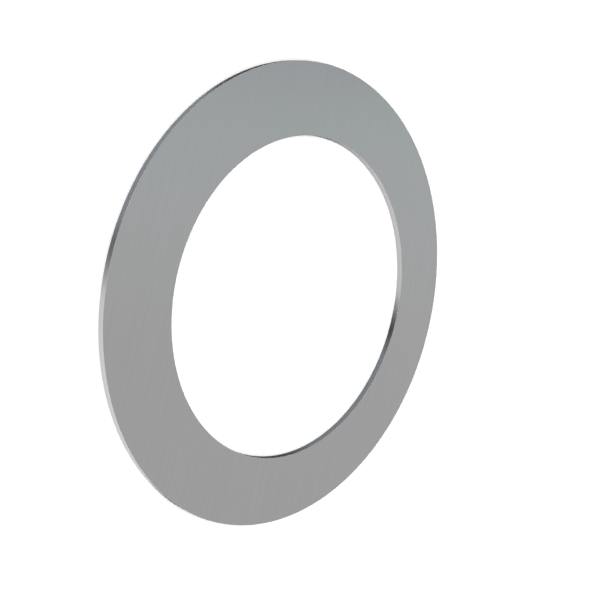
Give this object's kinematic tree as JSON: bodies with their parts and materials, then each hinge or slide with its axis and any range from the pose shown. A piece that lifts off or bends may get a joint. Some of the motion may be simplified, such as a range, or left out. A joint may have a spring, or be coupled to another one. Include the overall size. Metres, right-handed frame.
{
  "type": "flat ring gasket",
  "caption": "Thin flat metal ring with a plain round bore and lightly rounded edges, clamped between mating faces to seal the joint around a pipe or spigot.",
  "frame": {"origin": "centre of the bore on the lower sealing face, which the ring lies on", "axes": "+Z along the bore axis, up through the ring; X and Y lie in the sealing faces"},
  "size_m": [0.072, 0.072, 0.001],
  "materials": {
    "sheet_steel": "satin"
  },
  "bodies": {
    "root": {"gasket": "sheet_steel"}
  },
  "joints": []
}
